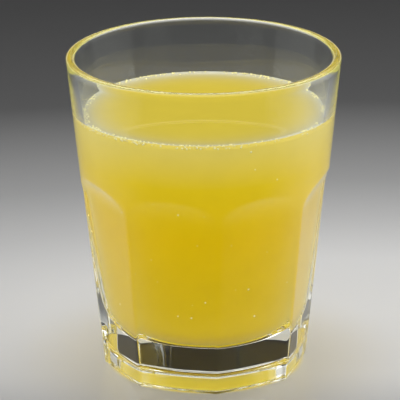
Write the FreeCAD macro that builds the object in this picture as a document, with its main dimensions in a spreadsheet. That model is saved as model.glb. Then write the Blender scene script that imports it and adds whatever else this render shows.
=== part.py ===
import FreeCAD, Part

import math
import os

import Sketcher

# A drinking glass with eight flat panels below a round upper wall, and the lemon juice in it.
# The origin is the middle of the underside, +Z is up, and sizes are in millimetres.

SIZES = [
    # alias, value, what it is
    ("height", 100.0, "foot to rim"),
    ("rim_radius", 42.5, "outside of the wall at the rim"),
    ("foot_radius", 32.5, "outside of the round blank at the foot, before the panels are cut"),
    ("rim_wall", 2.65, "wall at the rim"),
    ("lip_round", 1.25, "rounding of each edge of the rim"),
    ("floor_height", 12.6, "thickness of the base under the drink"),
    ("heel_wall", 8.5, "from the foot of the blank in to the edge of the well's floor"),
    ("well_side_radius", 560.0, "long curve of the well's wall, seen from the side"),
    ("well_corner", 9.0, "rounding between the well's wall and its floor"),
    ("foot_ring", 3.1, "from the middle of a panel's foot in to the hollow under the base"),
    ("hollow_depth", 5.6, "height of the hollow's ceiling at its edge"),
    ("hollow_sag", 0.3, "how far the ceiling comes down towards its middle"),
    ("hollow_round", 1.0, "rounding between the hollow's wall and its ceiling"),
    ("ring_round", 0.5, "rounding of the foot ring's inner edge"),
    ("sole_round", 0.8, "rounding of the panels' bottom edges"),
    ("panels", 8, "flat panels round the glass"),
    ("panel_height", 56.0, "where a panel ends and its shoulder begins"),
    ("foot_bite", 0.4, "how far the panels' edges lie inside the blank at the foot"),
    ("head_bite", 0.1, "the same where the shoulders begin"),
    ("shoulder_radius", 14.0, "curve that leads a panel out to the round wall"),
    ("fill_gap", 17.8, "from the rim down to the juice"),
    ("cut_margin", 2.0, "how far a cutting outline runs past what it cuts"),
]

# Lengths that several outlines share, as expressions on the sheet.
FLAT_SHARE = "cos(180 deg / Sizes.panels)"
PANEL_FOOT = f"(Sizes.foot_radius * {FLAT_SHARE} - Sizes.foot_bite)"
BLANK_AT_HEAD = "(Sizes.foot_radius + (Sizes.rim_radius - Sizes.foot_radius) * Sizes.panel_height / Sizes.height)"
PANEL_HEAD = f"({BLANK_AT_HEAD} * {FLAT_SHARE} - Sizes.head_bite)"
PANEL_SLOPE = f"(({PANEL_HEAD} - {PANEL_FOOT}) / Sizes.panel_height)"
PANEL_LEAN = f"atan({PANEL_SLOPE})"
MOUTH_RADIUS = "(Sizes.rim_radius - Sizes.rim_wall)"
FLOOR_RADIUS = "(Sizes.foot_radius - Sizes.heel_wall)"
JUICE_LEVEL = "(Sizes.height - Sizes.fill_gap)"
PAST_RIM = "(Sizes.rim_radius + Sizes.cut_margin)"
HOLLOW_RADIUS = f"({PANEL_FOOT} - Sizes.foot_ring)"
HOLLOW_CURVE = f"(({HOLLOW_RADIUS} ^ 2 + Sizes.hollow_sag ^ 2) / (2 * Sizes.hollow_sag))"

NEAR = 1e-4
ORIGIN = (-1, 1)
UPRIGHT_AXIS = -2


def make_sheet(doc):
    sheet = doc.addObject("Spreadsheet::Sheet", "Sizes")
    for row, (alias, value, meaning) in enumerate(SIZES, start=1):
        sheet.set(f"A{row}", alias)
        sheet.set(f"B{row}", str(value))
        sheet.set(f"C{row}", meaning)
        sheet.setAlias(f"B{row}", alias)
    doc.recompute()
    return sheet


def value_of(owner, expression):
    result = owner.evalExpression(expression)
    return float(getattr(result, "Value", result))


def new_sketch(body, name):
    """A sketch on the body's own upright plane: its x is the radius and its y is the height."""
    plane = next(item for item in body.Origin.OriginFeatures if item.Role == "XZ_Plane")
    sketch = body.newObject("Sketcher::SketchObject", name)
    sketch.AttachmentSupport = (plane, "")
    sketch.MapMode = "FlatFace"
    return sketch


def arc_between(start, end, radius, side):
    """The shorter arc from start to end, with its centre to the left (1) or right (-1) of the way."""
    chord = end - start
    half = chord.Length / 2
    left = FreeCAD.Vector(-chord.y, chord.x, 0).normalize()
    centre = (start + end) * 0.5 + left * (side * math.sqrt(radius ** 2 - half ** 2))
    first = math.atan2(start.y - centre.y, start.x - centre.x)
    last = math.atan2(end.y - centre.y, end.x - centre.x)
    circle = Part.Circle(centre, FreeCAD.Vector(0, 0, 1), radius)
    if side < 0:
        first, last = last, first
    return Part.ArcOfCircle(circle, first, last)


def draw_outline(sketch, corners, bends):
    """Draw a closed outline and bind it to the sheet.

    corners holds a radius and a height for each corner, as expressions, and bends gives the
    radius and the side of the centre for each edge that is an arc, by the number of its first corner.
    """
    points = [FreeCAD.Vector(value_of(sketch, x), value_of(sketch, y), 0) for x, y in corners]
    edges = []
    for number, start in enumerate(points):
        end = points[(number + 1) % len(points)]
        if number in bends:
            radius, side = bends[number]
            edge = sketch.addGeometry(arc_between(start, end, value_of(sketch, radius), side))
            bend = sketch.addConstraint(Sketcher.Constraint("Radius", edge, value_of(sketch, radius)))
            sketch.setExpression(f"Constraints[{bend}]", radius)
        else:
            edge = sketch.addGeometry(Part.LineSegment(start, end))
        edges.append(edge)
    for number, point in enumerate(points):
        ends = [end_near(sketch, edges[number - 1], point), end_near(sketch, edges[number], point)]
        sketch.addConstraint(Sketcher.Constraint("Coincident", *ends[0], *ends[1]))
        for kind, text, size in zip(("DistanceX", "DistanceY"), corners[number], (point.x, point.y)):
            if kind == "DistanceX" and abs(size) < NEAR:
                sketch.addConstraint(Sketcher.Constraint("PointOnObject", *ends[1], UPRIGHT_AXIS))
                continue
            place = sketch.addConstraint(Sketcher.Constraint(kind, *ORIGIN, *ends[1], size))
            sketch.setExpression(f"Constraints[{place}]", text)


def end_near(sketch, edge, point):
    """The edge and which of its ends (1 or 2) lies at the point."""
    spans = [(sketch.getPoint(edge, end) - point).Length for end in (1, 2)]
    return edge, 1 + spans.index(min(spans))


def revolve(body, kind, sketch, name):
    feature = body.newObject(kind, name)
    feature.Profile = sketch
    feature.ReferenceAxis = (sketch, ["V_Axis"])
    feature.Angle = 360
    body.Document.recompute()
    return feature


def fillet(body, name, base, radius, wanted):
    """Round every edge of base that passes the wanted test."""
    edges = [f"Edge{number}" for number, edge in enumerate(base.Shape.Edges, start=1) if wanted(edge)]
    feature = body.newObject("PartDesign::Fillet", name)
    feature.Base = (base, edges)
    feature.setExpression("Radius", radius)
    body.Document.recompute()
    return feature


def ring_at(height, radius=None):
    """A test for the round edges at one height, all of them or those of one radius."""
    def test(edge):
        box = edge.BoundBox
        level = box.ZLength < NEAR and abs(box.ZMin - height) < NEAR
        if not level or not isinstance(edge.Curve, Part.Circle):
            return False
        return radius is None or abs(edge.Curve.Radius - radius) < NEAR
    return test


def make_glass(doc):
    body = doc.addObject("PartDesign::Body", "glass")
    body.Label = "glass"

    section = new_sketch(body, "blank_section")
    corners = [
        ("0", "(Sizes.hollow_depth - Sizes.hollow_sag)"),
        (HOLLOW_RADIUS, "Sizes.hollow_depth"),
        (HOLLOW_RADIUS, "0"),
        ("Sizes.foot_radius", "0"),
        ("Sizes.rim_radius", "Sizes.height"),
        (MOUTH_RADIUS, "Sizes.height"),
        (FLOOR_RADIUS, "Sizes.floor_height"),
        ("0", "Sizes.floor_height"),
    ]
    draw_outline(section, corners, {0: (HOLLOW_CURVE, 1), 5: ("Sizes.well_side_radius", -1)})
    blank = revolve(body, "PartDesign::Revolution", section, "blank")

    rim = ring_at(value_of(body, "Sizes.height"))
    lip = fillet(body, "lip", blank, "min(Sizes.lip_round; 0.47 * Sizes.rim_wall)", rim)
    floor = ring_at(value_of(body, "Sizes.floor_height"))
    well = fillet(body, "well_bottom", lip, "Sizes.well_corner", floor)
    ceiling = ring_at(value_of(body, "Sizes.hollow_depth"))
    hollow = fillet(body, "hollow_corner", well, "Sizes.hollow_round", ceiling)
    mouth = ring_at(0, value_of(body, HOLLOW_RADIUS))
    foot = fillet(body, "ring_edge", hollow, "Sizes.ring_round", mouth)

    cutter = new_sketch(body, "panel_section")
    below = "(0 - Sizes.cut_margin)"
    top = f"(Sizes.panel_height + Sizes.shoulder_radius * (1 - sin({PANEL_LEAN})))"
    corners = [
        (f"({PANEL_FOOT} - {PANEL_SLOPE} * Sizes.cut_margin)", below),
        (PANEL_HEAD, "Sizes.panel_height"),
        (f"({PANEL_HEAD} + Sizes.shoulder_radius * cos({PANEL_LEAN}))", top),
        (f"({PAST_RIM} + Sizes.shoulder_radius)", top),
        (f"({PAST_RIM} + Sizes.shoulder_radius)", below),
    ]
    draw_outline(cutter, corners, {1: ("Sizes.shoulder_radius", -1)})
    panel = body.newObject("PartDesign::Pocket", "panel")
    panel.Profile = cutter
    panel.Midplane = True
    panel.setExpression("Length", f"2 * {PAST_RIM}")
    doc.recompute()
    if panel.Shape.Volume > foot.Shape.Volume - 1:
        raise RuntimeError("the panel cuts nothing")

    ring = body.newObject("PartDesign::PolarPattern", "panel_ring")
    ring.Originals = [panel]
    ring.Axis = (cutter, ["V_Axis"])
    ring.Angle = 360
    ring.setExpression("Occurrences", "Sizes.panels")
    body.Tip = ring
    doc.recompute()

    def sole_edge(edge):
        box = edge.BoundBox
        return box.ZLength < NEAR and abs(box.ZMin) < NEAR and isinstance(edge.Curve, Part.Line)

    fillet(body, "sole", ring, "Sizes.sole_round", sole_edge)
    return body


def make_juice(doc):
    """The juice fills the well, with the same wall and corner, and is cut off at its level."""
    body = doc.addObject("PartDesign::Body", "lemon_juice")
    body.Label = "lemon_juice"

    section = new_sketch(body, "well_section")
    corners = [
        ("0", "Sizes.floor_height"),
        (FLOOR_RADIUS, "Sizes.floor_height"),
        (MOUTH_RADIUS, "Sizes.height"),
        ("0", "Sizes.height"),
    ]
    draw_outline(section, corners, {1: ("Sizes.well_side_radius", 1)})
    whole = revolve(body, "PartDesign::Revolution", section, "full_well")
    floor = ring_at(value_of(body, "Sizes.floor_height"))
    rounded = fillet(body, "well_bottom", whole, "Sizes.well_corner", floor)

    above = new_sketch(body, "air_section")
    ceiling = "(Sizes.height + Sizes.cut_margin)"
    corners = [("0", JUICE_LEVEL), (PAST_RIM, JUICE_LEVEL), (PAST_RIM, ceiling), ("0", ceiling)]
    draw_outline(above, corners, {})
    poured = revolve(body, "PartDesign::Groove", above, "level")
    if poured.Shape.Volume > rounded.Shape.Volume - 1:
        raise RuntimeError("the juice is not cut at its level")
    return body


def check(doc, bodies):
    for item in doc.Objects:
        if "Invalid" in item.State or "Error" in item.State:
            raise RuntimeError(f"{item.Name} failed: {item.State}")
    for body in bodies:
        if body.Shape.isNull() or not body.Shape.isValid() or len(body.Shape.Solids) != 1:
            raise RuntimeError(f"{body.Label} is not one valid solid")


def main():
    doc = FreeCAD.newDocument("glass_of_lemon_juice")
    make_sheet(doc)
    bodies = [make_glass(doc), make_juice(doc)]
    doc.recompute()
    check(doc, bodies)
    os.makedirs("parts", exist_ok=True)
    for body in bodies:
        body.Shape.exportStep(f"parts/{body.Label}.step")
        box = body.Shape.BoundBox
        print(f"{body.Label}: {body.Shape.Volume / 1000:.1f} cm3, z {box.ZMin:.2f} to {box.ZMax:.2f}, "
              f"x {box.XMin:.2f} to {box.XMax:.2f}")


main()
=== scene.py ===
"""A panelled glass of cloudy lemon juice on a pale table: an add-on in form, run as a script."""

import math

import bmesh
import bpy
from bpy.props import FloatProperty, FloatVectorProperty, IntProperty, PointerProperty
from mathutils import Matrix, Vector


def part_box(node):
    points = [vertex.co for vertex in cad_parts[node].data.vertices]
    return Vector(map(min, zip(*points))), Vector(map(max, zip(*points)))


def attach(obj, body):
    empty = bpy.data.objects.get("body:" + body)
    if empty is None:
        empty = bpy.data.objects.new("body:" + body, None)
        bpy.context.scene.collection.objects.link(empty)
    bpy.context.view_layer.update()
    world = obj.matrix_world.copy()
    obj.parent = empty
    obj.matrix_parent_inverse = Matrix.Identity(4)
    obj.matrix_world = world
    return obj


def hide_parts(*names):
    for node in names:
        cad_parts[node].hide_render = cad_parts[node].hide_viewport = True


bl_info = {
    "name": "Glass of lemon juice",
    "version": (1, 0, 0),
    "blender": (4, 5, 0),
    "location": "3D View > Sidebar > Lemon juice",
    "description": "A tumbler with flat panels, its lemon juice and bubbles, and a table",
    "category": "Add Mesh",
}

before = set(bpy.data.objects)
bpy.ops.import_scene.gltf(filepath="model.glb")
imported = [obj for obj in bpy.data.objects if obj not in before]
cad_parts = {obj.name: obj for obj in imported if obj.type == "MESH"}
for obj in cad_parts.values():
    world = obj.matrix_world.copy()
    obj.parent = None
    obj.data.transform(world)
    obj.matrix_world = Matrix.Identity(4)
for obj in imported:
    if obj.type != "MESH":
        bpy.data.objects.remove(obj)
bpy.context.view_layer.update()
GLASS_LOW, GLASS_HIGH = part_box("glass")
JUICE_LOW, JUICE_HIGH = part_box("lemon_juice")
MM = 0.001
HALF_TURN = math.pi
FULL_TURN = math.tau

HEIGHT = GLASS_HIGH[2]
RIM_REACH = min(GLASS_HIGH[0], GLASS_HIGH[1], -GLASS_LOW[0], -GLASS_LOW[1])
LEVEL = JUICE_HIGH[2]
FLOOR_HEIGHT = JUICE_LOW[2]

GLASS_IOR = 1.5
JUICE_IOR = 1.345
WHITE = (1.0, 1.0, 1.0)


# Properties: the sizes and colours that a user would change.

def length(name, description, millimetres):
    return FloatProperty(
        name=name, description=description, default=millimetres * MM, unit="LENGTH", precision=5
    )


def share(name, description, default):
    return FloatProperty(name=name, description=description, default=default, subtype="FACTOR")


def level(name, description, default):
    return FloatProperty(name=name, description=description, default=default, min=0.0)


def angle(name, description, degrees):
    return FloatProperty(
        name=name, description=description, default=math.radians(degrees), unit="ROTATION"
    )


def colour(name, description, default):
    return FloatVectorProperty(
        name=name, description=description, default=default, subtype="COLOR", min=0.0, max=1.0
    )


def count(name, description, default):
    return IntProperty(name=name, description=description, default=default, min=1)


class TumblerSizes(bpy.types.PropertyGroup):
    rim_wall: length("Rim wall", "Thickness of the wall at the rim", 2.65)
    lip_round: length("Lip rounding", "Height of the rounded lip", 0.9)
    foot_radius: length("Foot radius", "Round blank at the foot, before its panels", 32.5)
    heel_wall: length("Heel wall", "From the blank's foot in to the edge of the well's floor", 8.5)
    well_side_radius: length("Well curve", "Long curve of the inner wall from the side", 560.0)
    well_corner: length("Well corner", "Rounding between the inner wall and the well's floor", 9.0)
    foot_ring: length("Foot ring", "From the middle of a panel's foot in to the hollow", 3.1)
    hollow_depth: length("Hollow depth", "Ceiling of the hollow under the base, at its edge", 5.6)
    hollow_sag: length("Hollow sag", "How far that ceiling comes down in its middle", 0.3)
    hollow_round: length("Hollow rounding", "Between the hollow's wall and its ceiling", 2.4)
    ring_round: length("Ring rounding", "Inner edge of the foot ring", 0.5)
    sole_round: length("Sole rounding", "Bottom edge of the panels", 0.5)
    panel_height: length("Panel height", "Where a panel ends and its shoulder begins", 56.0)
    foot_bite: length("Foot bite", "How far panel edges lie inside the blank at the foot", 0.4)
    head_bite: length("Head bite", "The same where the shoulders begin", 0.1)
    shoulder_radius: length("Shoulder radius", "Curve that leads a panel out to the wall", 14.0)
    edge_softness: length("Edge softness", "Reach of the melted edges between panels", 1.2)
    panels: count("Panels", "Flat panels round the glass", 8)
    columns: count("Columns", "Mesh columns in each panel", 48)
    gather: share("Gather", "How much the columns crowd towards the panel edges", 0.65)
    tint: colour("Tint", "Faint green of thick soda glass", (0.992, 1.0, 0.985))
    lamp_tint: colour("Lamp tint", "What the wall lets through from lamps", (0.97, 0.985, 0.965))
    waviness: share("Waviness", "Strength of the pressed glass's slow waves", 0.05)


class JuiceSizes(bpy.types.PropertyGroup):
    sink: length("Sink", "How far the juice reaches into the wall, so that no gap shows", 0.2)
    climb: length("Climb", "How far the juice climbs the wall", 0.7)
    climb_reach: length("Climb reach", "How fast that climb fades away from the wall", 1.5)
    # Painted light: the pale margin stands in for light that the thin juice at the wall lets
    # through.
    pale_edge: length("Pale edge", "How fast the pale margin fades away from the wall", 3.8)
    margin_share: level("Margin share", "How strong the pale margin is right at the wall", 0.9)
    columns: count("Columns", "Mesh columns to each panel of the tumbler", 32)
    cloudiness: share("Cloudiness", "Strength of the slow clouds of pulp", 0.10)
    top: colour("Surface", "Open surface of the juice", (0.71, 0.545, 0.060))
    # Margin: painted light that the thin juice at the wall lets through.
    margin: colour("Margin", "Thin juice at the wall", (0.52, 0.525, 0.45))
    # Painted light: the side is paler just under the surface, where light from above comes into the
    # juice.
    lit_shallow: colour("Shallow", "Side of the juice just under the surface", (0.80, 0.63, 0.12))
    upper: colour("Upper", "Side of the juice where the panels' heads are", (0.80, 0.57, 0.012))
    middle: colour("Middle", "Side of the juice at mid height", (0.785, 0.512, 0.001))
    low: colour("Low", "Side of the juice above the base", (0.70, 0.475, 0.001))
    foot: colour("Foot", "Side of the juice near the base", (0.67, 0.475, 0.018))
    underside: colour("Underside", "Bottom of the juice, in the foot's shade", (0.16, 0.105, 0.003))
    # Painted light: the pale limb stands in for light that shines through the juice where it turns
    # away.
    lit_limb: colour("Limb", "Side of the juice where it turns away", (0.46, 0.525, 0.40))
    lit_limb_share: share("Limb share", "Strength of that paler limb", 1.0)


class BubbleSizes(bpy.types.PropertyGroup):
    ring_count: count("Edge bubbles", "Bubbles along the edge of the juice", 900)
    clumps: count("Clumps", "Groups that the edge bubbles gather in", 70)
    clump_width: angle("Clump width", "How far a clump spreads along the wall", 6.0)
    clinging_share: share("Clinging share", "Part of the edge bubbles that hold the wall", 0.5)
    spread: length("Spread", "How far bubbles drift from the wall", 1.3)
    wall_count: count("Wall bubbles", "Bubbles that cling to the wall under the surface", 70)
    smallest: length("Smallest", "Radius of the smallest bubble", 0.12)
    largest: length("Largest", "Radius of the largest bubble", 0.40)
    largest_on_wall: length("Largest on the wall", "Radius of the largest clinging bubble", 0.50)
    seed: count("Seed", "Fixed seed of the bubbles' places", 7)
    film: colour("Film", "Skin of a bubble", (0.95, 0.89, 0.48))
    # Painted shade: the dark edge of a bubble, where its skin turns away from view.
    shade: colour("Shade", "Edge of a bubble", (0.52, 0.38, 0.02))


class StageSettings(bpy.types.PropertyGroup):
    azimuth: angle("Azimuth", "Turn of the camera and the lamps round the glass", 15.9)
    yaw: angle("Yaw", "Sideways aim of the camera", -0.42)
    pitch: angle("Pitch", "How far the camera looks down", 19.0)
    roll: angle("Roll", "Lean of the camera", -0.42)
    distance: length("Distance", "Camera in front of the glass", 1001.97)
    camera_height: length("Camera height", "Camera above the table", 397.54)
    aside: length("Aside", "Camera to the right of the middle", 5.91)
    lens: level("Lens", "Focal length in millimetres on a 36 mm frame", 306.0)
    box_level: level("Softbox", "Brightness of the softbox behind the glass in reflections", 3.2)
    top_level: level("Top light", "Brightness of the lamp overhead", 0.5)
    side_level: level("Side boxes", "Brightness of the softboxes at the sides in reflections", 1.4)
    horizon: level("Horizon", "Soft light from low all round", 4.5)
    zenith: level("Zenith", "Soft light from above", 0.84)
    room: level("Room", "Brightness of the dim room in reflections", 0.01)
    room_foot: level("Foot of the room", "Brightness of the room low down in reflections", 0.9)
    # Painted light: the lit pool and the dark in front of the glass are painted into the table's
    # colour.
    pool_right: length("Pool to the right", "Middle of the lit pool on the table", 45.0)
    pool_away: length("Pool away", "Middle of the lit pool on the table", 38.0)
    pool_width: level("Pool width", "How much wider than deep the lit pool is", 1.9)
    pool_reach: length("Pool reach", "From the pool's middle to where the table is dark", 390.0)
    # Painted light: under the glass the table takes the drink's colour and glows, and near the foot
    # it is warmed, for light that comes down through the drink.
    glow_level: level("Glow", "Light that comes down through the drink", 0.32)
    glow_reach: length("Glow reach", "How far out the warm light on the table goes", 68.0)
    glow_share: share("Glow share", "Strength of the warm light near the foot", 0.5)
    glow: colour("Glow colour", "Table under the drink", (0.66, 0.50, 0.0))
    near_glow: colour("Near glow", "Warm light on the table near the foot", (0.86, 0.76, 0.52))
    front_dark: length("Dark in front", "How far in front of the glass the table falls dark", 120.0)
    table: colour("Table", "Pale table top", (0.63, 0.63, 0.63))


# Nodes: one class for a socket, and one for a tree.

def live_socket(sockets, key):
    """A socket by its number, or the one in use among those of that name."""
    if isinstance(key, int):
        return sockets[key]
    return next(socket for socket in sockets if socket.name == key and socket.enabled)


class Link:
    """A socket of a node tree. Arithmetic on it adds Math nodes to the tree."""

    def __init__(self, bench, socket):
        self.bench = bench
        self.socket = socket

    def sibling(self, output):
        """Another output of the same node."""
        return Link(self.bench, live_socket(self.socket.node.outputs, output))

    def __add__(self, other):
        return self.bench.math("ADD", self, other)

    def __radd__(self, other):
        return self.bench.math("ADD", other, self)

    def __sub__(self, other):
        return self.bench.math("SUBTRACT", self, other)

    def __rsub__(self, other):
        return self.bench.math("SUBTRACT", other, self)

    def __mul__(self, other):
        return self.bench.math("MULTIPLY", self, other)

    def __rmul__(self, other):
        return self.bench.math("MULTIPLY", other, self)

    def __truediv__(self, other):
        return self.bench.math("DIVIDE", self, other)

    def __rtruediv__(self, other):
        return self.bench.math("DIVIDE", other, self)

    def __pow__(self, other):
        return self.bench.math("POWER", self, other)

    def __gt__(self, other):
        return self.bench.math("GREATER_THAN", self, other)


class Bench:
    """A node tree, with one way to add any node to it."""

    def __init__(self, tree):
        self.tree = tree
        tree.nodes.clear()

    def add(self, kind, settings=(), inputs=(), output=0):
        """Add a node, with its settings first and then its sockets, and give one of its outputs."""
        node = self.tree.nodes.new(kind)
        for name, value in dict(settings).items():
            if name == "stops":
                self.set_stops(node.color_ramp, value)
            else:
                setattr(node, name, value)
        for key, value in dict(inputs).items():
            socket = live_socket(node.inputs, key)
            if isinstance(value, Link):
                self.tree.links.new(value.socket, socket)
            elif socket.type == "RGBA":
                socket.default_value = (*value[:3], 1.0)
            else:
                socket.default_value = value
        if not node.outputs:
            return None
        return Link(self, live_socket(node.outputs, output))

    def set_stops(self, ramp, stops):
        while len(ramp.elements) < len(stops):
            ramp.elements.new(1.0)
        for element, (place, shade) in zip(ramp.elements, stops):
            element.position = place
            element.color = (*shade, 1.0)

    def math(self, operation, *values):
        return self.add("ShaderNodeMath", {"operation": operation}, enumerate(values))

    def clamp(self, value, low, high):
        return self.add("ShaderNodeClamp", {}, {"Value": value, "Min": low, "Max": high})

    def ease(self, value, start, end):
        """0 at start, 1 at end, and a smooth step between them."""
        return self.add(
            "ShaderNodeMapRange",
            {"interpolation_type": "SMOOTHSTEP"},
            {"Value": value, "From Min": start, "From Max": end},
        )

    def vector(self, operation, *values, output="Vector"):
        settings = {"operation": operation}
        return self.add("ShaderNodeVectorMath", settings, enumerate(values), output)

    def blend(self, factor, first, second, way="MIX"):
        """Mix two colours."""
        settings = {"data_type": "RGBA", "blend_type": way}
        inputs = {"Factor": factor, "A": first, "B": second}
        return self.add("ShaderNodeMix", settings, inputs, "Result")

    def join(self, x, y, z):
        return self.add("ShaderNodeCombineXYZ", {}, {"X": x, "Y": y, "Z": z})

    def split(self, vector):
        """X of a vector, with Y and Z as its siblings."""
        return self.add("ShaderNodeSeparateXYZ", {}, {"Vector": vector})

    def around(self, radius, turn, height):
        """A place from its distance to the axis, its turn about it and its height."""
        across = radius * self.math("COSINE", turn)
        return self.join(across, radius * self.math("SINE", turn), height)

    def here(self):
        """The Object coordinates, which a pattern or a shade follows."""
        return self.add("ShaderNodeTexCoord", output="Object")

    def shuffle(self, factor, first, second):
        """Mix two shaders."""
        return self.add("ShaderNodeMixShader", {}, {0: factor, 1: first, 2: second})


def new_material(name, build):
    """A material whose surface is the shader that build gives."""
    material = bpy.data.materials.new(name)
    material.use_nodes = True
    bench = Bench(material.node_tree)
    bench.add("ShaderNodeOutputMaterial", {}, {"Surface": build(bench)})
    return material


def new_group(name, inputs):
    """A geometry tree with one geometry socket each way and the named inputs."""
    tree = bpy.data.node_groups.new(name, "GeometryNodeTree")
    bench = Bench(tree)
    tree.interface.new_socket("Geometry", in_out="INPUT", socket_type="NodeSocketGeometry")
    for label, kind in inputs:
        tree.interface.new_socket(label, in_out="INPUT", socket_type="NodeSocket" + kind)
    tree.interface.new_socket("Geometry", in_out="OUTPUT", socket_type="NodeSocketGeometry")
    return bench, bench.add("NodeGroupInput")


def grow(name, mesh, tree, values):
    """Run a geometry tree on a mesh and give a plain object of what it makes."""
    carrier = bpy.data.objects.new(name + "_start", mesh)
    bpy.context.collection.objects.link(carrier)
    modifier = carrier.modifiers.new("make", "NODES")
    modifier.node_group = tree
    for item in tree.interface.items_tree:
        if item.in_out == "INPUT" and item.name in values:
            modifier[item.identifier] = values[item.name]
    evaluated = carrier.evaluated_get(bpy.context.evaluated_depsgraph_get())
    grown = bpy.data.meshes.new_from_object(evaluated)
    bpy.data.objects.remove(carrier)
    grown.name = name
    piece = bpy.data.objects.new(name, grown)
    bpy.context.collection.objects.link(piece)
    return piece


def face_outwards(piece):
    work = bmesh.new()
    work.from_mesh(piece.data)
    bmesh.ops.recalc_face_normals(work, faces=work.faces)
    work.to_mesh(piece.data)
    work.free()


# Outlines: lists of (radius, height, pressed), from the axis round the section and back to it.
# First, how many steps each stretch of them has.

CEILING_STEPS = 8
HOLLOW_CORNER_STEPS = 6
RING_STEPS = 5
SOLE_STEPS = 6
PANEL_STEPS = 16
SHOULDER_STEPS = 52
UPPER_WALL_STEPS = 14
LIP_STEPS = 16
WELL_SIDE_STEPS = 36
JUICE_SIDE_STEPS = 40
WELL_CORNER_STEPS = 14
WELL_FLOOR_STEPS = 6
SURFACE_STEPS = 8
CLIMB_STEPS = 36

# The fine rows of a shoulder begin this share of its radius under the panel's head.
SHOULDER_LEAD = 0.5
# The juice is level from this many times the climb's reach off the wall.
CLIMB_FADE = 6


def span(start, end, steps):
    """Values from start to end, in so many equal steps."""
    return [start + (end - start) * step / steps for step in range(steps + 1)]


def arc(centre, radius, start, end, steps, rise=None):
    """Points of an arc, or of an ellipse's arc where the rise differs from the radius."""
    rise = radius if rise is None else rise
    turns = span(start, end, steps)
    return [(centre[0] + radius * math.cos(a), centre[1] + rise * math.sin(a), 0.0) for a in turns]


class Section:
    """The tumbler's section: what its outlines and its juice share."""

    def __init__(self, sizes):
        self.sizes = sizes
        self.flare = (RIM_REACH - sizes.foot_radius) / (HEIGHT - sizes.lip_round)
        self.rim_radius = self.blank_radius(HEIGHT)
        flat = math.cos(HALF_TURN / sizes.panels)
        self.panel_foot = sizes.foot_radius * flat - sizes.foot_bite
        self.panel_head = self.blank_radius(sizes.panel_height) * flat - sizes.head_bite
        self.panel_slope = (self.panel_head - self.panel_foot) / sizes.panel_height
        self.hollow_radius = self.panel_foot - sizes.foot_ring
        self.find_well_curve()

    def find_well_curve(self):
        """The circle of the well's side, and the smaller one that rounds its corner."""
        sizes = self.sizes
        mouth = Vector((self.rim_radius - sizes.rim_wall, HEIGHT))
        floor = Vector((sizes.foot_radius - sizes.heel_wall, FLOOR_HEIGHT))
        chord = floor - mouth
        inwards = Vector((chord.y, -chord.x)).normalized()
        reach = math.sqrt(sizes.well_side_radius ** 2 - (chord.length / 2) ** 2)
        self.side_centre = (mouth + floor) / 2 + inwards * reach
        corner_height = FLOOR_HEIGHT + sizes.well_corner
        drop = corner_height - self.side_centre.y
        reach = math.sqrt((sizes.well_side_radius - sizes.well_corner) ** 2 - drop ** 2)
        self.corner_centre = Vector((self.side_centre.x + reach, corner_height))
        self.meet = math.atan2(drop, reach)

    def blank_radius(self, height):
        """The round outside at a height, before its panels."""
        return self.sizes.foot_radius + self.flare * height

    def well_radius(self, height):
        """The inner wall at a height."""
        rise = height - self.side_centre.y
        return self.side_centre.x + math.sqrt(self.sizes.well_side_radius ** 2 - rise ** 2)

    def well_outline(self, top, sink, side_steps):
        """From the wall at the top height down and in to the axis, set into the glass by sink."""
        side = self.sizes.well_side_radius + sink
        start = math.asin((top - self.side_centre.y) / side)
        points = arc(self.side_centre, side, start, self.meet, side_steps)
        corner = self.sizes.well_corner + sink
        points += arc(self.corner_centre, corner, self.meet, -HALF_TURN / 2, WELL_CORNER_STEPS)[1:]
        floor = span(self.corner_centre.x, 0.0, WELL_FLOOR_STEPS)[1:]
        return points + [(radius, FLOOR_HEIGHT - sink, 0.0) for radius in floor]


def hollow_outline(section):
    """The underside from the axis out to the foot ring."""
    sizes = section.sizes
    reach = section.hollow_radius
    curve = (reach ** 2 + sizes.hollow_sag ** 2) / (2 * sizes.hollow_sag)
    middle = sizes.hollow_depth - sizes.hollow_sag + curve
    edge = reach - sizes.hollow_round
    ceiling = [
        (radius, middle - math.sqrt(curve ** 2 - radius ** 2), 0.0)
        for radius in span(0.0, edge, CEILING_STEPS)
    ]
    top_corner = (edge, ceiling[-1][1] - sizes.hollow_round)
    low_corner = (reach + sizes.ring_round, sizes.ring_round)
    return (
        ceiling
        + arc(top_corner, sizes.hollow_round, HALF_TURN / 2, 0.0, HOLLOW_CORNER_STEPS)[1:]
        + arc(low_corner, sizes.ring_round, HALF_TURN, HALF_TURN * 1.5, RING_STEPS)
    )


def outer_outline(section):
    """The pressed outside from the sole's rounding up to the lip."""
    sizes = section.sizes
    points = []
    for turn in span(0.0, HALF_TURN / 2, SOLE_STEPS):
        height = sizes.sole_round * (1 - math.cos(turn))
        inset = 1 - sizes.sole_round * (1 - math.sin(turn)) / sizes.foot_radius
        points.append((section.blank_radius(height) * inset, height, 1.0))
    shoulder_foot = sizes.panel_height - SHOULDER_LEAD * sizes.shoulder_radius
    shoulder_head = sizes.panel_height + sizes.shoulder_radius
    heights = span(sizes.sole_round, shoulder_foot, PANEL_STEPS)[1:]
    heights += span(shoulder_foot, shoulder_head, SHOULDER_STEPS)[1:]
    heights += span(shoulder_head, HEIGHT - sizes.lip_round, UPPER_WALL_STEPS)[1:]
    return points + [(section.blank_radius(height), height, 1.0) for height in heights]


def glass_outline(section):
    """The hollow, the outside, the lip and the well."""
    sizes = section.sizes
    lip_foot = HEIGHT - sizes.lip_round
    outer = section.blank_radius(lip_foot)
    inner = section.well_radius(lip_foot)
    middle = ((outer + inner) / 2, lip_foot)
    lip = arc(middle, (outer - inner) / 2, 0.0, HALF_TURN, LIP_STEPS, rise=sizes.lip_round)
    well = section.well_outline(lip_foot, 0.0, WELL_SIDE_STEPS)
    return hollow_outline(section) + outer_outline(section) + lip[1:] + well[1:]


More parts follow.
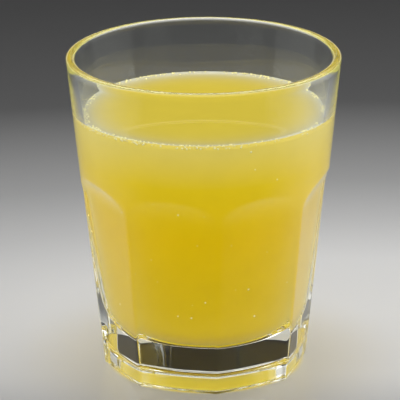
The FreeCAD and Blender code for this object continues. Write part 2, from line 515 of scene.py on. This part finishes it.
def juice_outline(section, juice):
    """The open surface, its climb at the wall, and then the well's own shape."""
    edge_height = LEVEL + juice.climb
    wall = section.well_radius(edge_height)
    climb_width = CLIMB_FADE * juice.climb_reach
    level_part = span(0.0, wall - climb_width, SURFACE_STEPS)
    surface = [(radius, LEVEL, 0.0) for radius in level_part]
    for gap in span(climb_width, 0.0, CLIMB_STEPS)[1:]:
        surface.append((wall - gap, LEVEL + juice.climb * math.exp(-gap / juice.climb_reach), 0.0))
    return surface + section.well_outline(edge_height, juice.sink, JUICE_SIDE_STEPS)


def chain(name, outline):
    """A mesh of bare points in a row, with a number on each that says whether it is pressed."""
    mesh = bpy.data.meshes.new(name)
    mesh.from_pydata([(radius, 0.0, height) for radius, height, _ in outline], [], [])
    pressed = mesh.attributes.new("pressed", "FLOAT", "POINT")
    pressed.data.foreach_set("value", [mark for _, _, mark in outline])
    return mesh


# Geometry trees.

# Points that lie closer than this become one.
MERGE_REACH = 0.002 * MM
# Faces that look up or down at least this much, near the top of the juice, are its surface.
STEEP = 0.3
SURFACE_DEPTH = 0.5 * MM
# The shoulder's arc ends just short of its full radius, where its square root is still real.
ARC_END = 0.999

# Facets of a bubble.
BALL_SEGMENTS = 9
BALL_RINGS = 6
# Powers that make large bubbles few, and bubbles far from the wall fewer.
FEW_LARGE = 2
FEW_FAR = 3
# Where a bubble's middle lies, in radii of the bubble: how far off the wall when it floats and when
# it clings, how far above the juice, and how much lower it starts when it clings.
FLOATING_GAP = 0.75
CLINGING_GAP = 0.5
RISE = 0.25
CLINGING_DROP = 1.25
# Three chances from 0 to 1 add up to this on average.
MEAN_OF_THREE = 1.5
# Wall bubbles start this many corner radii above the floor and stop this far under the level.
LOWEST_BUBBLE = 1.2
HIGHEST_BUBBLE = 2 * MM


def turning_tree():
    """Turn an outline round the axis, and press flat, arched panels into the points so marked."""
    bench, start = new_group("turn_and_press", [
        ("Panels", "Int"),
        ("Columns", "Int"),
        ("Gather", "Float"),
        ("Blank foot", "Float"),
        ("Blank flare", "Float"),
        ("Panel foot", "Float"),
        ("Panel slope", "Float"),
        ("Panel head", "Float"),
        ("Panel height", "Float"),
        ("Shoulder radius", "Float"),
        ("Edge softness", "Float"),
        ("Level", "Float"),
        ("Body material", "Material"),
        ("Surface material", "Material"),
    ])
    outline = start.sibling("Geometry")
    panels = start.sibling("Panels")
    rows = bench.add("GeometryNodeAttributeDomainSize", {"component": "MESH"}, {0: outline})
    columns = panels * start.sibling("Columns")
    grid = bench.add("GeometryNodeMeshGrid", {}, {
        "Size X": 1.0, "Size Y": 1.0, "Vertices X": columns + 1, "Vertices Y": rows,
    })
    spot = bench.split(bench.add("GeometryNodeInputPosition"))
    row = bench.math("ROUND", (spot.sibling("Y") + 0.5) * (rows - 1))

    across = (spot + 0.5) * panels
    sector = bench.math("FLOOR", bench.math("MINIMUM", across, panels - 0.5))
    part = across - sector
    part = part - start.sibling("Gather") * bench.math("SINE", part * FULL_TURN) / FULL_TURN
    sweep = FULL_TURN / panels
    turn = (sector + part + 0.5) * sweep
    off_middle = bench.math("ABSOLUTE", (part - 0.5) * sweep)

    point = bench.add(
        "GeometryNodeSampleIndex", {"data_type": "FLOAT_VECTOR"},
        {"Geometry": outline, "Value": bench.add("GeometryNodeInputPosition"), "Index": row},
    )
    mark = bench.add("GeometryNodeInputNamedAttribute", {"data_type": "FLOAT"}, {"Name": "pressed"})
    pressed = bench.add(
        "GeometryNodeSampleIndex", {"data_type": "FLOAT"},
        {"Geometry": outline, "Value": mark, "Index": row},
    )
    section = bench.split(point)
    radius = section
    height = section.sibling("Z")

    head = start.sibling("Panel head")
    slope = start.sibling("Panel slope")
    bend = start.sibling("Shoulder radius")
    lean = bench.math("ARCTANGENT", slope)
    centre = head + bend * bench.math("COSINE", lean)
    centre_height = start.sibling("Panel height") - bend * bench.math("SINE", lean)
    climb = bench.clamp(height - centre_height, 0.0, 1.0)
    climb = bench.math("MINIMUM", climb, bend * ARC_END)
    shoulder = centre - bench.math("SQRT", bend * bend - climb * climb)
    flat = start.sibling("Panel foot") + slope * height
    past = height > start.sibling("Panel height")
    distance = flat + (shoulder - flat) * past

    soft = start.sibling("Edge softness")
    own = distance / bench.math("COSINE", off_middle)
    next_one = distance / bench.math("COSINE", sweep - off_middle)
    blank = start.sibling("Blank foot") + start.sibling("Blank flare") * height
    panel = bench.math("SMOOTH_MIN", own, next_one, soft)
    limit = bench.math("SMOOTH_MIN", blank, panel, soft)
    radius = radius * (1 + pressed * (limit / blank - 1))

    turned = bench.add("GeometryNodeSetPosition", {}, {
        "Geometry": grid,
        "Position": bench.around(radius, turn, height),
    })
    closed = bench.add(
        "GeometryNodeMergeByDistance", {}, {"Geometry": turned, "Distance": MERGE_REACH}
    )
    smooth = bench.add("GeometryNodeSetShadeSmooth", {}, {"Geometry": closed})
    real = bench.add("GeometryNodeRealizeInstances", {}, {"Geometry": smooth})
    body = bench.add("GeometryNodeSetMaterial", {}, {
        "Geometry": real, "Material": start.sibling("Body material"),
    })
    now = bench.split(bench.add("GeometryNodeInputPosition"))
    facing = bench.split(bench.add("GeometryNodeInputNormal"))
    steep = bench.math("ABSOLUTE", facing.sibling("Z"))
    on_surface = (now.sibling("Z") > start.sibling("Level")) * (steep > STEEP)
    top = bench.add("GeometryNodeSetMaterial", {}, {
        "Geometry": body, "Selection": on_surface, "Material": start.sibling("Surface material"),
    })
    bench.add("NodeGroupOutput", {}, {"Geometry": top})
    return bench.tree


def chance(bench, seed, number, low=0.0, high=1.0, of=None):
    """A draw for each point, or the same for all points of one clump. Each draw has its number."""
    index = bench.add("GeometryNodeInputIndex") if of is None else of
    return bench.add(
        "FunctionNodeRandomValue", {"data_type": "FLOAT"},
        {"Min": low, "Max": high, "ID": index, "Seed": seed + number}, "Value",
    )


def blow(bench, start, position, size):
    """Put a small round bubble at each point, and end the tree."""
    points = bench.add("GeometryNodePoints", {}, {
        "Count": start.sibling("Count"), "Position": position, "Radius": 1 * MM,
    })
    ball = bench.add("GeometryNodeMeshUVSphere", {}, {
        "Segments": BALL_SEGMENTS, "Rings": BALL_RINGS, "Radius": 1.0,
    })
    round_ball = bench.add("GeometryNodeSetShadeSmooth", {}, {"Geometry": ball})
    placed = bench.add("GeometryNodeInstanceOnPoints", {}, {
        "Points": points, "Instance": round_ball, "Scale": bench.join(size, size, size),
    })
    real = bench.add("GeometryNodeRealizeInstances", {}, {"Geometry": placed})
    finished = bench.add("GeometryNodeSetMaterial", {}, {
        "Geometry": real, "Material": start.sibling("Material"),
    })
    bench.add("NodeGroupOutput", {}, {"Geometry": finished})
    return bench.tree


def edge_bubble_tree():
    """Bubbles that float in clumps along the edge of the juice."""
    bench, start = new_group("edge_bubbles", [
        ("Count", "Int"),
        ("Clumps", "Int"),
        ("Clump width", "Float"),
        ("Seed", "Int"),
        ("Smallest", "Float"),
        ("Largest", "Float"),
        ("Spread", "Float"),
        ("Clinging share", "Float"),
        ("Sink", "Float"),
        ("Wall radius", "Float"),
        ("Level", "Float"),
        ("Climb", "Float"),
        ("Climb reach", "Float"),
        ("Material", "Material"),
    ])
    seed = start.sibling("Seed")
    smallest = start.sibling("Smallest")
    clump = bench.math("FLOOR", chance(bench, seed, 1) * start.sibling("Clumps"))
    stray = chance(bench, seed, 2) + chance(bench, seed, 3) + chance(bench, seed, 4)
    stray = stray - MEAN_OF_THREE
    turn = chance(bench, seed, 5, 0.0, FULL_TURN, of=clump) + stray * start.sibling("Clump width")
    size = smallest + (start.sibling("Largest") - smallest) * chance(bench, seed, 6) ** FEW_LARGE
    floating = chance(bench, seed, 8) > start.sibling("Clinging share")
    adrift = size * FLOATING_GAP + start.sibling("Spread") * chance(bench, seed, 7) ** FEW_FAR
    clinging = size * CLINGING_GAP - start.sibling("Sink")
    gap = clinging + (adrift - clinging) * floating
    lift = start.sibling("Climb") * bench.math("EXPONENT", 0 - gap / start.sibling("Climb reach"))
    drop = (1 - floating) * (size * CLINGING_DROP + start.sibling("Climb") * chance(bench, seed, 9))
    radius = start.sibling("Wall radius") - gap
    height = start.sibling("Level") + lift + size * RISE - drop
    return blow(bench, start, bench.around(radius, turn, height), size)


def wall_bubble_tree():
    """Bubbles that cling to the inner wall under the surface."""
    bench, start = new_group("wall_bubbles", [
        ("Count", "Int"),
        ("Seed", "Int"),
        ("Smallest", "Float"),
        ("Largest", "Float"),
        ("Lowest", "Float"),
        ("Highest", "Float"),
        ("Wall centre radius", "Float"),
        ("Wall centre height", "Float"),
        ("Wall curve", "Float"),
        ("Material", "Material"),
    ])
    seed = start.sibling("Seed")
    smallest = start.sibling("Smallest")
    lowest = start.sibling("Lowest")
    turn = chance(bench, seed, 11, 0.0, FULL_TURN)
    height = lowest + (start.sibling("Highest") - lowest) * chance(bench, seed, 12)
    size = smallest + (start.sibling("Largest") - smallest) * chance(bench, seed, 13) ** FEW_LARGE
    curve = start.sibling("Wall curve")
    rise = height - start.sibling("Wall centre height")
    radius = start.sibling("Wall centre radius") + bench.math("SQRT", curve * curve - rise * rise)
    radius = radius - size * CLINGING_GAP
    return blow(bench, start, bench.around(radius, turn, height), size)


# Materials.

# Waves of the glass and clouds of pulp, to the metre.
WAVE_SCALE = 55.0
CLOUD_SCALE = 90.0
# Roughness of the juice: its least, and what the pulp adds.
JUICE_ROUGHNESS = 0.7
PULP_ROUGHNESS = 0.1
# How late the painted light at the limb sets in, where the juice turns away.
LIT_LIMB_POWER = 2.0
# A bubble's skin: its roughness, its clouds, and how far its painted dark edge reaches in.
FILM_ROUGHNESS = 0.12
FILM_CLOUDS = 0.3
FILM_SHADED_EDGE = 0.35


def clear_glass(sizes):
    """Clear pressed glass that lamps and soft light shine straight through, onto what it holds."""

    def build(bench):
        slow = bench.add("ShaderNodeTexNoise", {}, {
            "Vector": bench.here(), "Scale": WAVE_SCALE, "Detail": 1.0,
        })
        wave = bench.add("ShaderNodeBump", {}, {
            "Strength": sizes.waviness, "Distance": 1 * MM, "Height": slow,
        })
        glass = bench.add("ShaderNodeBsdfGlass", {}, {
            "Color": sizes.tint, "Roughness": 0.0, "IOR": GLASS_IOR, "Normal": wave,
        })
        clear = bench.add("ShaderNodeBsdfTransparent", {}, {"Color": sizes.lamp_tint})
        soft = bench.add("ShaderNodeLightPath", output="Is Diffuse Ray")
        lamp = bench.add("ShaderNodeLightPath", output="Is Shadow Ray")
        return bench.shuffle(lamp, bench.shuffle(soft, glass, clear), clear)

    return new_material("clear_glass", build)


def cloudy_body(bench, base, pulp):
    """A matt body of one colour, a little uneven with the pulp in it."""
    return bench.add("ShaderNodeBsdfPrincipled", {}, {
        "Base Color": shade_by(bench, base, pulp),
        "Roughness": JUICE_ROUGHNESS + PULP_ROUGHNESS * pulp,
        "Specular IOR Level": 0.0,
    })


def wet(bench, body, ior):
    """Lay a mirror-smooth skin over a body."""
    skin = bench.add("ShaderNodeBsdfGlossy", {}, {"Color": WHITE, "Roughness": 0.0})
    return bench.shuffle(bench.add("ShaderNodeFresnel", {}, {"IOR": ior}), body, skin)


def haze(bench, here, strength):
    """Slow clouds of pulp: a number near 1."""
    cloud = bench.add("ShaderNodeTexNoise", {}, {
        "Vector": here, "Scale": CLOUD_SCALE, "Detail": 3.0, "Roughness": 0.6,
    })
    return 1.0 + (cloud - 0.5) * strength


def shade_by(bench, colour_link, number):
    """Multiply a colour by a number."""
    return bench.vector("MULTIPLY", colour_link, bench.join(number, number, number))


def juice_side(juice):
    """The juice against the glass, with painted light: paler under its surface and where it turns
    away.
    """

    def build(bench):
        here = bench.here()
        filled = (bench.split(here).sibling("Z") - FLOOR_HEIGHT) / (LEVEL - FLOOR_HEIGHT)
        # Colours up the side: the top stop is painted light from above, and the bottom stop is
        # painted shade under the foot.
        stops = [
            (0.0, juice.underside),
            (0.012, juice.foot),
            (0.20, juice.low),
            (0.55, juice.middle),
            (0.80, juice.upper),
            (0.97, juice.lit_shallow),
        ]
        base = bench.add("ShaderNodeValToRGB", {"stops": stops}, {"Fac": filled}, "Color")
        pulp = haze(bench, here, juice.cloudiness)
        # Painted light at the limb, mixed in where the surface turns away from view.
        turned = bench.add("ShaderNodeLayerWeight", {}, {"Blend": 0.5}, "Facing")
        limb_light = juice.lit_limb_share * turned ** LIT_LIMB_POWER
        middle = cloudy_body(bench, base, pulp)
        lit_limb = cloudy_body(bench, tuple(juice.lit_limb), pulp)
        return wet(bench, bench.shuffle(limb_light, middle, lit_limb), JUICE_IOR / GLASS_IOR)

    return new_material("juice_side", build)


def juice_surface(juice, wall):
    """The open surface, with a painted pale margin of light through the thin juice at the wall."""

    def build(bench):
        here = bench.here()
        spot = bench.split(here)
        out = bench.math("SQRT", spot * spot + spot.sibling("Y") * spot.sibling("Y"))
        gap = bench.math("MAXIMUM", wall - out, 0.0)
        # Painted light: how much of the pale margin shows, fading away from the wall.
        margin_light = juice.margin_share * bench.math("EXPONENT", 0 - gap / juice.pale_edge)
        base = bench.blend(bench.clamp(margin_light, 0.0, 1.0), juice.top, juice.margin)
        pulp = haze(bench, here, juice.cloudiness)
        return wet(bench, cloudy_body(bench, base, pulp), JUICE_IOR)

    return new_material("juice_surface", build)


def bubble_film(bubbles):
    """The bright skin of a bubble over the juice's colour, with a painted dark edge where it turns
    away.
    """

    def build(bench):
        pulp = haze(bench, bench.here(), FILM_CLOUDS)
        film, shade = (
            bench.add("ShaderNodeBsdfPrincipled", {}, {
                "Base Color": shade_by(bench, tuple(tone), pulp),
                "Roughness": FILM_ROUGHNESS * pulp,
            })
            for tone in (bubbles.film, bubbles.shade)
        )
        # Painted shade at the bubble's edge.
        rim = bench.add("ShaderNodeLayerWeight", {}, {"Blend": FILM_SHADED_EDGE}, "Facing")
        return bench.shuffle(rim, film, shade)

    return new_material("bubble_film", build)


# Pieces.

def claim(piece, slot, *nodes):
    """Give a finished piece its body and hide the nodes that it stands for; its slot is not used.
    """
    face_outwards(piece)
    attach(piece, "root")
    if nodes:
        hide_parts(*nodes)


def turn_piece(name, outline, section, columns, body, surface, surface_from):
    """One turned and pressed piece from its outline."""
    sizes = section.sizes
    return grow(name, chain(name + "_outline", outline), turning_tree(), {
        "Panels": sizes.panels,
        "Columns": columns,
        "Gather": sizes.gather,
        "Blank foot": sizes.foot_radius,
        "Blank flare": section.flare,
        "Panel foot": section.panel_foot,
        "Panel slope": section.panel_slope,
        "Panel head": section.panel_head,
        "Panel height": sizes.panel_height,
        "Shoulder radius": sizes.shoulder_radius,
        "Edge softness": sizes.edge_softness,
        "Level": surface_from,
        "Body material": body,
        "Surface material": surface,
    })


class LEMON_OT_tumbler(bpy.types.Operator):
    """Turn the tumbler and press its panels"""

    bl_idname = "lemon.tumbler"
    bl_label = "Make the tumbler"

    def execute(self, context):
        sizes = context.scene.lemon_tumbler
        section = Section(sizes)
        glass = clear_glass(sizes)
        above_all = 2 * HEIGHT
        piece = turn_piece(
            "tumbler", glass_outline(section), section, sizes.columns, glass, glass, above_all
        )
        claim(piece, "clear_glass", "glass")
        return {"FINISHED"}


class LEMON_OT_juice(bpy.types.Operator):
    """Fill the tumbler with lemon juice"""

    bl_idname = "lemon.juice"
    bl_label = "Pour the juice"

    def execute(self, context):
        juice = context.scene.lemon_juice
        section = Section(context.scene.lemon_tumbler)
        wall = section.well_radius(LEVEL + juice.climb)
        piece = turn_piece(
            "juice", juice_outline(section, juice), section, juice.columns,
            juice_side(juice), juice_surface(juice, wall), LEVEL - SURFACE_DEPTH,
        )
        claim(piece, "lemon_juice", "lemon_juice")
        return {"FINISHED"}


class LEMON_OT_bubbles(bpy.types.Operator):
    """Add the bubbles at the edge of the juice and on the wall under it"""

    bl_idname = "lemon.bubbles"
    bl_label = "Add the bubbles"

    def execute(self, context):
        bubbles = context.scene.lemon_bubbles
        juice = context.scene.lemon_juice
        section = Section(context.scene.lemon_tumbler)
        film = bubble_film(bubbles)
        start = bpy.data.meshes.new("edge_bubbles_start")
        ring = grow("edge_bubbles", start, edge_bubble_tree(), {
            "Count": bubbles.ring_count,
            "Clumps": bubbles.clumps,
            "Clump width": bubbles.clump_width,
            "Seed": bubbles.seed,
            "Smallest": bubbles.smallest,
            "Largest": bubbles.largest,
            "Spread": bubbles.spread,
            "Clinging share": bubbles.clinging_share,
            "Sink": juice.sink,
            "Wall radius": section.well_radius(LEVEL + juice.climb),
            "Level": LEVEL,
            "Climb": juice.climb,
            "Climb reach": juice.climb_reach,
            "Material": film,
        })
        claim(ring, "lemon_juice")
        start = bpy.data.meshes.new("wall_bubbles_start")
        cling = grow("wall_bubbles", start, wall_bubble_tree(), {
            "Count": bubbles.wall_count,
            "Seed": bubbles.seed,
            "Smallest": bubbles.smallest,
            "Largest": bubbles.largest_on_wall,
            "Lowest": FLOOR_HEIGHT + LOWEST_BUBBLE * section.sizes.well_corner,
            "Highest": LEVEL - HIGHEST_BUBBLE,
            "Wall centre radius": section.side_centre.x,
            "Wall centre height": section.side_centre.y,
            "Wall curve": section.sizes.well_side_radius + juice.sink,
            "Material": film,
        })
        claim(cling, "lemon_juice")
        return {"FINISHED"}


# The stage.

# Half a side of the table, and how far it lies under the glass, so that the two don't flicker.
TABLE_HALF = 6.0
TABLE_DROP = 0.1 * MM
TABLE_ROUGHNESS = 0.35
# Painted brightness of the table from the middle of its lit pool out, over the pool's reach.
POOL_FALL = [
    (0.0, 1.0),
    (0.135, 0.92),
    (0.19, 0.79),
    (0.24, 0.66),
    (0.35, 0.42),
    (0.6, 0.10),
    (0.97, 0.046),
]
# Where the painted shade on the table begins in front of the glass, and how much of its light it
# loses.
FRONT_START = 10 * MM
FRONT_LOSS = 0.88
# From the middle out: the drink's painted glow is full, then gone, and then the painted warm light
# starts.
GLOW_FULL = 28.0 * MM
GLOW_GONE = 31.5 * MM
WARM_START = 32 * MM

# Each lamp's place, to the right, away and up, and its width and depth, in metres.
TOP_LIGHT = ((0.0, 0.25, 0.9), (1.0, 0.8))
SOFTBOX = ((0.0, 0.62, 0.72), (1.3, 0.7))
SIDE_BOXES = {
    "left_box": ((-1.0, 0.1, 0.45), (1.1, 0.8)),
    "right_box": ((1.0, 0.1, 0.45), (1.1, 0.8)),
}
# Share of the softbox over which its lower edge fades.
SOFTBOX_FADE = 0.6
# How fast the light from low down falls off upwards, and where the foot of the room fades.
LOW_LIGHT_FALL = 4
ROOM_FOOT_FADE = (0.06, 0.20)


def stage_point(stage, right, away, up):
    """A place given as the camera sees it: to the right, away from it, and up."""
    return Matrix.Rotation(stage.azimuth, 3, "Z") @ Vector((right, away, up))


def table_top(stage):
    """A wide pale table with a painted pool of light, and painted light from the drink under the
    glass and near it.
    """

    def build(bench):
        here = bench.here()
        centre = stage_point(stage, stage.pool_right, stage.pool_away, 0.0)
        pool = bench.add("ShaderNodeMapping", {"vector_type": "TEXTURE"}, {
            "Vector": here, "Location": centre, "Rotation": (0.0, 0.0, stage.azimuth),
            "Scale": (stage.pool_width, 1.0, 1.0),
        })
        away = bench.vector("LENGTH", pool, output="Value")
        stops = [(place, [part * shade for part in stage.table]) for place, shade in POOL_FALL]
        reach = away / stage.pool_reach
        pale = bench.add("ShaderNodeValToRGB", {"stops": stops}, {"Fac": reach}, "Color")
        # Painted shade in front of the glass.
        ahead = stage_point(stage, 0.0, -1.0, 0.0)
        in_front = bench.vector("DOT_PRODUCT", here, ahead, output="Value")
        lit = 1.0 - FRONT_LOSS * bench.ease(in_front, FRONT_START, stage.front_dark)
        pale = shade_by(bench, pale, lit)
        # Painted light from the drink: warm near the foot, and a glow of the drink's colour under
        # the glass.
        out = bench.vector("LENGTH", here, output="Value")
        near = 1.0 - bench.ease(out, WARM_START, stage.glow_reach)
        warm = bench.blend(near * stage.glow_share, pale, stage.near_glow, "MULTIPLY")
        under = 1.0 - bench.ease(out, GLOW_FULL, GLOW_GONE)
        base = bench.blend(under, warm, stage.glow)
        return bench.add("ShaderNodeBsdfPrincipled", {}, {
            "Base Color": base, "Roughness": TABLE_ROUGHNESS,
            "Emission Color": shade_by(bench, tuple(stage.glow), under * stage.glow_level),
            "Emission Strength": 1.0,
        })

    return new_material("table_top", build)


def add_table(stage):
    mesh = bpy.data.meshes.new("table")
    corners = [(-1, -1), (1, -1), (1, 1), (-1, 1)]
    points = [(x * TABLE_HALF, y * TABLE_HALF, -TABLE_DROP) for x, y in corners]
    mesh.from_pydata(points, [], [(0, 1, 2, 3)])
    mesh.materials.append(table_top(stage))
    table = bpy.data.objects.new("table", mesh)
    bpy.context.collection.objects.link(table)


def add_lamp(stage, name, place, size, brightness):
    """A flat lamp that faces the glass. Brightness is what one sees of it."""
    width, depth = size
    lamp = bpy.data.lights.new(name, "AREA")
    lamp.shape = "RECTANGLE"
    lamp.size = width
    lamp.size_y = depth
    lamp.energy = brightness * math.pi * width * depth
    holder = bpy.data.objects.new(name, lamp)
    holder.location = stage_point(stage, *place)
    aim = Vector((0.0, 0.0, HEIGHT / 2)) - holder.location
    holder.rotation_euler = aim.to_track_quat("-Z", "Y").to_euler()
    holder.visible_camera = False
    bpy.context.collection.objects.link(holder)
    return holder


def fade_lower_edge(lamp):
    """Let a lamp fade towards its lower edge, as cloth over a softbox does."""
    lamp.use_nodes = True
    bench = Bench(lamp.node_tree)
    across = bench.add("ShaderNodeNewGeometry", output="Parametric")
    up = bench.split(across).sibling("Y")
    glow = bench.add("ShaderNodeEmission", {}, {"Strength": bench.ease(up, 0.0, SOFTBOX_FADE)})
    bench.add("ShaderNodeOutputLight", {}, {"Surface": glow})


def add_world(stage):
    """Soft light from all round for matt surfaces, and a dim room for what is seen and mirrored."""
    world = bpy.data.worlds.new("room")
    world.use_nodes = True
    bpy.context.scene.world = world
    bench = Bench(world.node_tree)
    ray = bench.add("ShaderNodeLightPath", output="Is Camera Ray")
    seen = bench.math("MAXIMUM", ray, ray.sibling("Is Glossy Ray"))
    seen = bench.math("MAXIMUM", seen, ray.sibling("Is Transmission Ray"))
    way = bench.add("ShaderNodeTexCoord", output="Generated")
    up = bench.split(way).sibling("Z")
    low = (1.0 - bench.clamp(up, 0.0, 1.0)) ** LOW_LIGHT_FALL
    soft = stage.zenith + (stage.horizon - stage.zenith) * low
    room = stage.room + stage.room_foot * (1.0 - bench.ease(up, *ROOM_FOOT_FADE))
    strength = soft + seen * (room - soft)
    sky = bench.add("ShaderNodeBackground", {}, {"Color": WHITE, "Strength": strength})
    bench.add("ShaderNodeOutputWorld", {}, {"Surface": sky})


def add_camera(stage):
    """A long lens that looks down at the glass."""
    camera = bpy.data.cameras.new("camera")
    camera.sensor_width = 36.0
    camera.lens = stage.lens
    camera.clip_end = 50.0
    holder = bpy.data.objects.new("camera", camera)
    bpy.context.collection.objects.link(holder)
    bpy.context.scene.camera = holder
    right = Vector((math.cos(stage.yaw), -math.sin(stage.yaw), 0.0))
    ahead = Vector((math.sin(stage.yaw), math.cos(stage.yaw), 0.0))
    straight_up = Vector((0.0, 0.0, 1.0))
    look = ahead * math.cos(stage.pitch) - straight_up * math.sin(stage.pitch)
    up = ahead * math.sin(stage.pitch) + straight_up * math.cos(stage.pitch)
    across = right * math.cos(stage.roll) + up * math.sin(stage.roll)
    top = up * math.cos(stage.roll) - right * math.sin(stage.roll)
    pose = Matrix((across, top, -look)).transposed().to_4x4()
    pose.translation = (stage.aside, -stage.distance, stage.camera_height)
    holder.matrix_world = Matrix.Rotation(stage.azimuth, 4, "Z") @ pose


def follow_light_through_glass(scene):
    """Let light pass on many times, because thick glass is black where its path ends early."""
    paths = scene.cycles
    paths.max_bounces = 32
    paths.glossy_bounces = 24
    paths.transmission_bounces = 32
    paths.transparent_max_bounces = 24


class LEMON_OT_stage(bpy.types.Operator):
    """Set the table, the lamps and the camera"""

    bl_idname = "lemon.stage"
    bl_label = "Set the stage"

    def execute(self, context):
        stage = context.scene.lemon_stage
        add_table(stage)
        add_world(stage)
        overhead = add_lamp(stage, "top_light", *TOP_LIGHT, stage.top_level)
        overhead.visible_glossy = False
        overhead.visible_transmission = False
        softbox = add_lamp(stage, "softbox", *SOFTBOX, stage.box_level)
        softbox.visible_diffuse = False
        fade_lower_edge(softbox.data)
        for name, (place, size) in SIDE_BOXES.items():
            box = add_lamp(stage, name, place, size, stage.side_level)
            box.visible_diffuse = False
        add_camera(stage)
        context.scene.view_settings.view_transform = "Standard"
        follow_light_through_glass(context.scene)
        return {"FINISHED"}


class LEMON_PT_panel(bpy.types.Panel):
    """Sizes, colours and steps of the glass of lemon juice"""

    bl_idname = "LEMON_PT_panel"
    bl_label = "Glass of lemon juice"
    bl_space_type = "VIEW_3D"
    bl_region_type = "UI"
    bl_category = "Lemon juice"

    def draw(self, context):
        for label, group, operator in STEPS:
            box = self.layout.box()
            box.label(text=label)
            settings = getattr(context.scene, group)
            for name in settings.__annotations__:
                box.prop(settings, name)
            box.operator(operator)


STEPS = [
    ("Tumbler", "lemon_tumbler", "lemon.tumbler"),
    ("Juice", "lemon_juice", "lemon.juice"),
    ("Bubbles", "lemon_bubbles", "lemon.bubbles"),
    ("Stage", "lemon_stage", "lemon.stage"),
]
GROUPS = {
    "lemon_tumbler": TumblerSizes,
    "lemon_juice": JuiceSizes,
    "lemon_bubbles": BubbleSizes,
    "lemon_stage": StageSettings,
}
CLASSES = [
    *GROUPS.values(),
    LEMON_OT_tumbler,
    LEMON_OT_juice,
    LEMON_OT_bubbles,
    LEMON_OT_stage,
    LEMON_PT_panel,
]


def register():
    for kind in CLASSES:
        bpy.utils.register_class(kind)
    for name, group in GROUPS.items():
        setattr(bpy.types.Scene, name, PointerProperty(type=group))


def unregister():
    for name in GROUPS:
        delattr(bpy.types.Scene, name)
    for kind in reversed(CLASSES):
        bpy.utils.unregister_class(kind)


def main():
    register()
    bpy.ops.lemon.tumbler()
    bpy.ops.lemon.juice()
    bpy.ops.lemon.bubbles()
    bpy.ops.lemon.stage()


if __name__ == "__main__":
    main()
